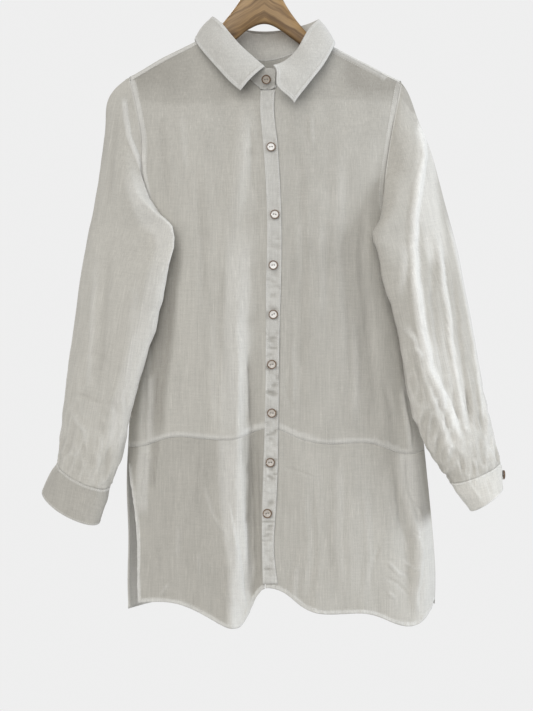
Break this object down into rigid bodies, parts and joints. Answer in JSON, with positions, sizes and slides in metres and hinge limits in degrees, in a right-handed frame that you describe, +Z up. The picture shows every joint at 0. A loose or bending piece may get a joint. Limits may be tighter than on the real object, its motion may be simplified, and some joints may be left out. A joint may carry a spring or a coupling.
{
  "type": "tunic top on a wooden hanger",
  "caption": "Long-sleeved button-through linen tunic top with a shirt collar, a hip seam and a curved hem, hanging on a wooden hanger.",
  "frame": {"origin": "inside top of the hanger's hook, where a rail or peg would hold it", "axes": "+Z up, -Y towards the front of the tunic, +X towards the wearer's left"},
  "size_m": [0.6331, 0.1225, 0.9643],
  "materials": {
    "linen": "sheer white linen, slubby plain weave",
    "shell": "shell, brown rim and paler middle",
    "wood": "light brown wood with darker grain, satin",
    "wire": "bright steel wire"
  },
  "bodies": {
    "root": {"hanger_body": "wood", "hanger_hook": "wire", "yoke": "linen", "back": "linen", "front_right_upper": "linen", "front_right_lower": "linen", "front_left_upper": "linen", "front_left_lower": "linen", "placket": "linen", "collar_stand": "linen", "collar": "linen", "sleeve_right": "linen", "sleeve_left": "linen", "cuff_right": "linen", "cuff_left": "linen", "button_1": "shell", "button_2": "shell", "button_3": "shell", "button_4": "shell", "button_5": "shell", "button_6": "shell", "button_7": "shell", "button_8": "shell", "button_9": "shell", "cuff_button_right": "shell", "cuff_button_left": "shell"}
  },
  "joints": []
}
